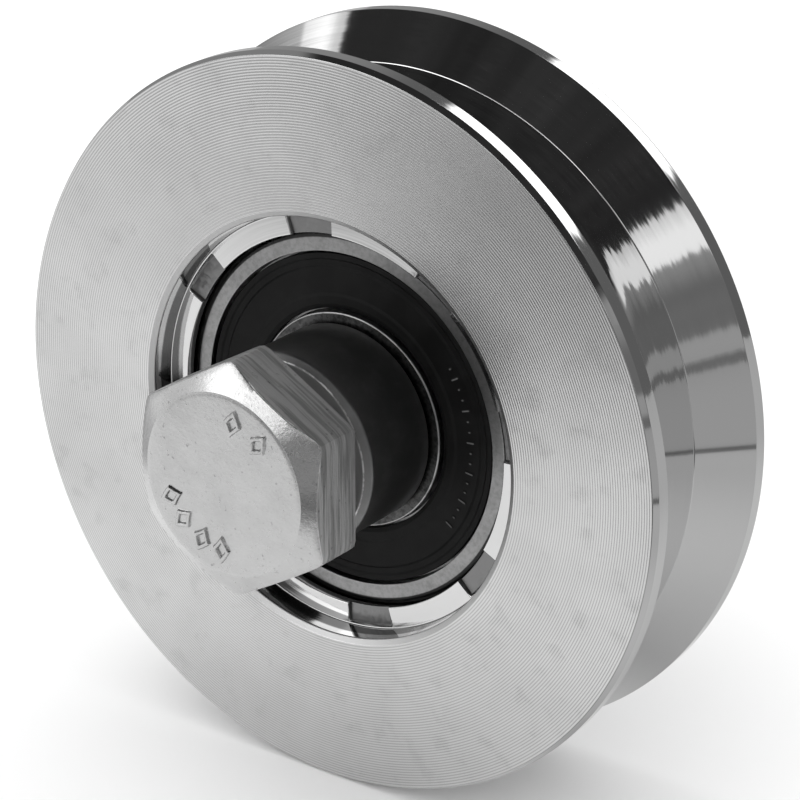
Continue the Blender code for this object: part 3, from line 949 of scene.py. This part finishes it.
def hex_side(angle, flat, top_r, start, end, both):
    """Rows down a hexagon's side: out along the chamfer's cone to the hexagon, then straight.

    The cone's rows are shares of the way out from the top's radius; the last two round its edge
    by a pull inward and a step past it. With both, a second cone closes the far end.
    """
    way = math.copysign(1, end - start)
    side = hexagon(angle, flat)
    drop = (side - top_r) * HEX_CHAMFER
    share = np.array([0, 0.05, 0.35, 0.7, 0.93, 1, 1])[:, None]
    inward = np.array([0, 0, 0, 0, 0, 0.04, 0])[:, None] * MM
    past = np.array([0, 0, 0, 0, 0, 0.03, 0.12])[:, None] * MM
    radius = [top_r + (side - top_r) * share - inward]
    y = [start + way * (drop * share + past)]
    wall = np.linspace(0.12, 0.88, 4)[:, None]
    last = end - way * drop if both else end + 0 * drop
    radius.append(side + 0 * wall)
    y.append(start + way * drop + (last - start - way * drop) * wall)
    if both:
        radius.append(radius[0][::-1])
        y.append(end - (y[0][::-1] - start))
    else:
        radius += [side, side - 0.25 * MM]
        y += [end - way * 0.15 * MM + 0 * side, end + 0 * side]
    return np.vstack(radius), np.vstack(y)


def head_marks():
    """Plain diamonds on the head: two on one side of it and four on the other."""
    turns = np.radians([50, 78, 203, 224, 247, 268])
    return [(HEAD_MARK_R, turn, HEAD_MARK_L, HEAD_MARK_W) for turn in turns]


class GATE_WHEEL_OT_bolt(bpy.types.Operator):
    """Hex bolt that is the wheel's axle, with its thread"""

    bl_idname = "gate_wheel.bolt"
    bl_label = "Axle bolt"

    def execute(self, context):
        shapes = context.scene.gate_wheel_shapes
        mark_windows = [
            (math.radians(63), math.radians(24), 96), (math.radians(235.5), math.radians(42), 150),
        ]
        angle = angles(120, mark_windows)[None]
        face_y = HEAD_TOP + shapes.mark_height
        top = np.concatenate([
            [0, 2 * MM, 4 * MM],
            np.arange(6.2 * MM, 10 * MM, 0.11 * MM),
            [10.4 * MM, HEAD_TOP_R - 0.3 * MM, HEAD_TOP_R - 0.15 * MM],
        ])[:, None]
        rim = HEAD_RIM_DROP * smooth(HEAD_TOP_R - 0.4 * MM, HEAD_TOP_R, top)
        raised = marks_on(top, angle, head_marks(), HEAD_MARK_EDGE, diamond_mark)
        top_y = face_y - raised * shapes.mark_height + rim
        rim_y = face_y + HEAD_RIM_DROP
        side_r, side_y = hex_side(angle, HEX_FLAT, HEAD_TOP_R, rim_y, HEAD_SEAT, False)
        neck = rounded([
            (HEX_FLAT - 0.4 * MM, HEAD_SEAT, 0), (BOLT_R, HEAD_SEAT, 0.3 * MM),
            (BOLT_R, THREAD_START, 0),
        ], closed=False)
        pitch = shapes.thread_pitch
        run = np.arange(THREAD_START, BOLT_END - 0.1 * MM, pitch / THREAD_ROWS)[:, None]
        turn = (run / pitch - angle / TURN) % 1
        tooth = np.clip(np.abs(turn * 2 - 1) * 1.25 - 0.125, 0, 1)
        start = smooth(THREAD_START, THREAD_START + pitch * 1.5, run)
        thread_r = BOLT_R - THREAD_SUNK * start - THREAD_DEPTH * start * (1 - tooth)
        end_r = BOLT_R - np.maximum(run - (BOLT_END - BOLT_END_CHAMFER), 0)
        thread_r = np.minimum(thread_r, end_r)
        last_r = BOLT_R - BOLT_END_CHAMFER
        end = np.array([
            (last_r, BOLT_END - 0.05 * MM), (last_r - 0.1 * MM, BOLT_END), (0, BOLT_END),
        ])
        wide = np.ones_like(angle)
        parts = [
            (top * wide, top_y), (side_r, side_y),
            (neck[:, :1] * wide, neck[:, 1:] * wide), (thread_r, run * wide),
            (end[:, :1] * wide, end[:, 1:] * wide),
        ]
        radius, y = (np.vstack([part[k] for part in parts]) for k in (0, 1))
        mesh = skin("hex_bolt", turned(radius, y, angle), poles=(True, True), sharp=HEX_SHARP)
        place("hex_bolt", mesh, finish("zinc_plate"), "axle", "zinc_plate", "axle_bolt")
        return {"FINISHED"}


class GATE_WHEEL_OT_nut(bpy.types.Operator):
    """Hex nut with chamfered ends"""

    bl_idname = "gate_wheel.nut"
    bl_label = "Nut"

    def execute(self, context):
        angle = angles(240)[None]
        start, end = NUT_LOW.y, NUT_HIGH.y
        side_r, side_y = hex_side(angle, NUT_HIGH.x, HEAD_TOP_R, start, end, True)
        sink, face_r = 0.8 * MM, HEAD_TOP_R - 0.4 * MM
        near = [(face_r, 0), (HOLE_R + sink, 0), (HOLE_R + sink * 0.9, 0.05 * MM), (HOLE_R, sink)]
        near = np.array(near)
        bore = np.vstack([near * (1, -1) + (0, end), near[::-1] + (0, start)])
        wide = np.ones_like(angle)
        radius = np.vstack([side_r, bore[:, :1] * wide])
        y = np.vstack([side_y, bore[:, 1:] * wide])
        mesh = skin("nut", turned(radius, y, angle), ring=True, sharp=HEX_SHARP)
        place("nut", mesh, finish("zinc_plate"), "axle", "zinc_plate", "hex_nut")
        return {"FINISHED"}


class GATE_WHEEL_OT_washers(bpy.types.Operator):
    """Flat washer and split spring washer"""

    bl_idname = "gate_wheel.washers"
    bl_label = "Washers"

    def execute(self, context):
        zinc = finish("zinc_plate")
        corners = [
            (HOLE_R, WASHER_LOW.y, 0.15 * MM), (WASHER_HIGH.x, WASHER_LOW.y, 0.6 * MM),
            (WASHER_HIGH.x, WASHER_HIGH.y, 0.12 * MM), (HOLE_R, WASHER_HIGH.y, 0.4 * MM),
        ]
        mesh = skin("washer", turned_outline(rounded(corners), angles(200)), ring=True)
        place("washer", mesh, zinc, "axle", "zinc_plate", "flat_washer")

        outer = SPRING_HIGH.x
        section = rounded([
            (HOLE_R, 0, 0.35 * MM), (outer, SPRING_TAPER, 0.35 * MM),
            (outer, SPRING_T - SPRING_TAPER, 0.35 * MM), (HOLE_R, SPRING_T, 0.35 * MM),
        ])
        share = np.linspace(0, 1, 161)[:, None]
        turn = math.pi / 2 + SPRING_SLIT / 2 + (TURN - SPRING_SLIT) * share
        rise = SPRING_HIGH.y - SPRING_LOW.y - SPRING_T
        body = turned(section[:, 0], SPRING_LOW.y + rise * share + section[:, 1], turn)
        ends = body.mean(axis=1, keepdims=True) * np.ones((1, body.shape[1], 1))
        grid = np.concatenate([ends[:1], body, ends[-1:]])
        mesh = skin("split_washer", grid, poles=(True, True))
        place("split_washer", mesh, zinc, "axle", "zinc_plate", "spring_washer")
        return {"FINISHED"}


def soft_box(height, across, low, high, left, right, edges, strength):
    """A bright patch from low to high and left to right, with its two edges' softness."""
    return height.between(low, high, edges[0]) * across.between(left, right, edges[1]) * strength


def world_light(nodes):
    """Radiance that polished metal sees by direction: soft boxes in a dim room."""
    x, y, z = nodes.split(nodes.add("TexCoord", output="Generated"))
    level = (x * x + y * y) ** 0.5
    side = x / level
    front = 1 - (y / level).above(-0.15, 0.15)
    left = 1 - side.above(-0.62, -0.38)
    right = side.between(0.35, 0.9, 0.1)
    room = 0.17 + z.between(0.05, 0.12, 0.025) * 0.26 + z.above(0.3, 0.4) * 0.12
    front_low = (room + left * (0.95 - room)) * (1 - z.above(0.5, 0.56))
    front_low = front_low * (1 - right * z.above(0.58, 0.6))
    strip = z.between(0.43, 0.565, 0.015) * left.maths("MAXIMUM", right) * 0.98
    back_low = (0.13 + left * 0.15) * (1 - z.above(0.72, 0.8)) + 0.03
    top_box = soft_box(z, x, 0.5, 0.74, -0.17, 0.44, (0.03, 0.05), 2.2)
    over = soft_box(z, side, 0.28, 0.5, -0.75, 0.12, (0.02, 0.04), 2.2)
    over = over + soft_box(z, side, 0.52, 0.68, -0.75, -0.45, (0.02, 0.04), 2.2)
    over = over + soft_box(z, side, 0.55, 0.68, -0.35, 0.2, (0.03, 0.05), 0.5)
    haze = nodes.noise(nodes.joined(x, y, z), 5, 3, 0.6) * 0.07
    ahead = front_low + strip.maths("MAXIMUM", over) + haze
    behind = back_low + top_box
    return front * ahead + (1 - front) * behind


class GATE_WHEEL_OT_stage(bpy.types.Operator):
    """Plain pale floor, soft studio light and the camera"""

    bl_idname = "gate_wheel.stage"
    bl_label = "Studio"

    def execute(self, context):
        scene = context.scene
        studio = scene.gate_wheel_studio
        self.make_floor(scene, studio)
        self.make_light(scene, studio)
        self.make_camera(scene, studio)
        return {"FINISHED"}

    def make_floor(self, scene, studio):
        """A wide pale floor. Polished metal sees a white sheet on it, with darker floor beyond; this
        tone, which only glossy rays see, is a painted reflection with painted shade in zones near the
        wheel, a painted shadow along the sheet's edge and a painted light patch at the wheel's foot.
        """
        size = 6.0
        mesh = bpy.data.meshes.new("floor")
        mesh.from_pydata([
            (-size, -size, FLOOR), (size, -size, FLOOR), (size, size, FLOOR), (-size, size, FLOOR),
        ], [], [(0, 1, 2, 3)])
        floor = bpy.data.objects.new("floor", mesh)
        scene.collection.objects.link(floor)
        material = bpy.data.materials.new("floor")
        material.use_nodes = True
        mesh.materials.append(material)
        nodes = Nodes(material.node_tree)
        x, y, _ = nodes.split(nodes.add("TexCoord", output="Object"))
        edge = x * 0.8 - y * 0.6
        sheet = 1 - edge.above(0.155, 0.162)
        # A dark line along the sheet's edge: a painted shadow.
        line = edge.between(0.157, 0.165, 0.003)
        # Darker zones ahead, to the front right and to the left of the wheel, and a step darker far
        # right: painted shade that polished metal sees.
        ahead = (1 - y.above(-0.23, -0.11)) * x.above(-0.28, -0.12) * sheet
        shade = x.above(0.022, 0.038)
        front_right = x.above(0.0, 0.05) * (1 - (y - x * 0.2).above(-0.12, -0.09)) * sheet
        left = (1 - x.above(-0.12, -0.09)) * y.above(-0.06, -0.03)
        # A lighter patch at the wheel's foot: painted light.
        foot = x.between(-0.06, 0.02, 0.02) * y.between(-0.06, 0.0, 0.02)
        tone = 0.36 + sheet * (0.56 - shade * 0.34) - line * 0.3 - ahead * 0.76
        tone = tone - front_right * 0.7 - left * 0.5 - x.above(0.06, 0.13) * sheet * 0.14
        tone = (tone + foot * 0.08).maths("MAXIMUM", 0.1)
        # Only glossy rays see this painted tone; the camera and diffuse rays see the even floor
        # colour.
        glossy = nodes.add("LightPath", output="Is Glossy Ray")
        tone = tone * glossy + (1 - glossy) * studio.floor[0]
        shader = material.node_tree.nodes["Principled BSDF"]
        nodes.feed(shader, {
            "Base Color": nodes.joined(tone, tone, tone), "Roughness": 1.0,
            "Specular IOR Level": 0.0,
        })

    def make_light(self, scene, studio):
        """Soft light from all round, which metal sees as soft boxes, and one broad lamp above."""
        world = bpy.data.worlds.new("studio")
        scene.world = world
        world.use_nodes = True
        world.cycles.sampling_method = "NONE"
        nodes = Nodes(world.node_tree)
        glossy = nodes.add("LightPath", output="Is Glossy Ray")
        tone = world_light(nodes) * glossy + (1 - glossy) * studio.light
        background = world.node_tree.nodes["Background"]
        nodes.feed(background, {"Color": nodes.joined(tone, tone, tone), "Strength": 1.0})

        lamp = bpy.data.lights.new("overhead", "AREA")
        lamp.shape, lamp.size, lamp.energy = "DISK", 0.7, 1.2
        lamp_object = bpy.data.objects.new("overhead", lamp)
        lamp_object.location = (-0.25, -0.1, 0.9)
        lamp_object.rotation_euler = (0, math.radians(-15), 0)
        lamp_object.visible_glossy = False
        lamp_object.visible_camera = False
        scene.collection.objects.link(lamp_object)

    def make_camera(self, scene, studio):
        """Looks at the aim point from azimuth 0 along +Y, turned towards +X, and from above."""
        turn, rise = studio.azimuth, studio.elevation
        back = Vector((
            math.sin(turn) * math.cos(rise), -math.cos(turn) * math.cos(rise), math.sin(rise)
        ))
        camera = bpy.data.cameras.new("camera")
        camera.lens = studio.lens
        camera.clip_start, camera.clip_end = 0.01, 50
        holder = bpy.data.objects.new("camera", camera)
        holder.matrix_world = (
            Matrix.Translation(Vector(studio.aim) + back * studio.distance)
            @ (-back).to_track_quat("-Z", "Y").to_matrix().to_4x4()
        )
        scene.collection.objects.link(holder)
        scene.camera = holder
        scene.view_settings.view_transform = "Standard"


OPERATORS = (
    GATE_WHEEL_OT_stage,
    GATE_WHEEL_OT_wheel_body,
    GATE_WHEEL_OT_bearing,
    GATE_WHEEL_OT_cage,
    GATE_WHEEL_OT_seals,
    GATE_WHEEL_OT_spacers,
    GATE_WHEEL_OT_bolt,
    GATE_WHEEL_OT_nut,
    GATE_WHEEL_OT_washers,
)
GROUPS = {
    "gate_wheel_shapes": GateWheelShapes,
    "gate_wheel_looks": GateWheelLooks,
    "gate_wheel_studio": GateWheelStudio,
}


class GATE_WHEEL_PT_panel(bpy.types.Panel):
    """Lists the pieces and the values that set them"""

    bl_idname = "GATE_WHEEL_PT_panel"
    bl_label = "Gate wheel"
    bl_space_type = "VIEW_3D"
    bl_region_type = "UI"
    bl_category = "Gate wheel"

    def draw(self, context):
        for operator in OPERATORS:
            self.layout.operator(operator.bl_idname)
        for name, group in GROUPS.items():
            box = self.layout.box()
            for value in group.__annotations__:
                box.prop(getattr(context.scene, name), value)


def register():
    for cls in (*GROUPS.values(), *OPERATORS, GATE_WHEEL_PT_panel):
        bpy.utils.register_class(cls)
    for name, group in GROUPS.items():
        setattr(bpy.types.Scene, name, PointerProperty(type=group))


def unregister():
    for name in GROUPS:
        delattr(bpy.types.Scene, name)
    for cls in reversed((*GROUPS.values(), *OPERATORS, GATE_WHEEL_PT_panel)):
        bpy.utils.unregister_class(cls)


def main():
    register()
    bpy.ops.gate_wheel.stage()
    bpy.ops.gate_wheel.wheel_body()
    bpy.ops.gate_wheel.bearing()
    bpy.ops.gate_wheel.cage()
    bpy.ops.gate_wheel.seals()
    bpy.ops.gate_wheel.spacers()
    bpy.ops.gate_wheel.bolt()
    bpy.ops.gate_wheel.nut()
    bpy.ops.gate_wheel.washers()


if __name__ == "__main__":
    main()
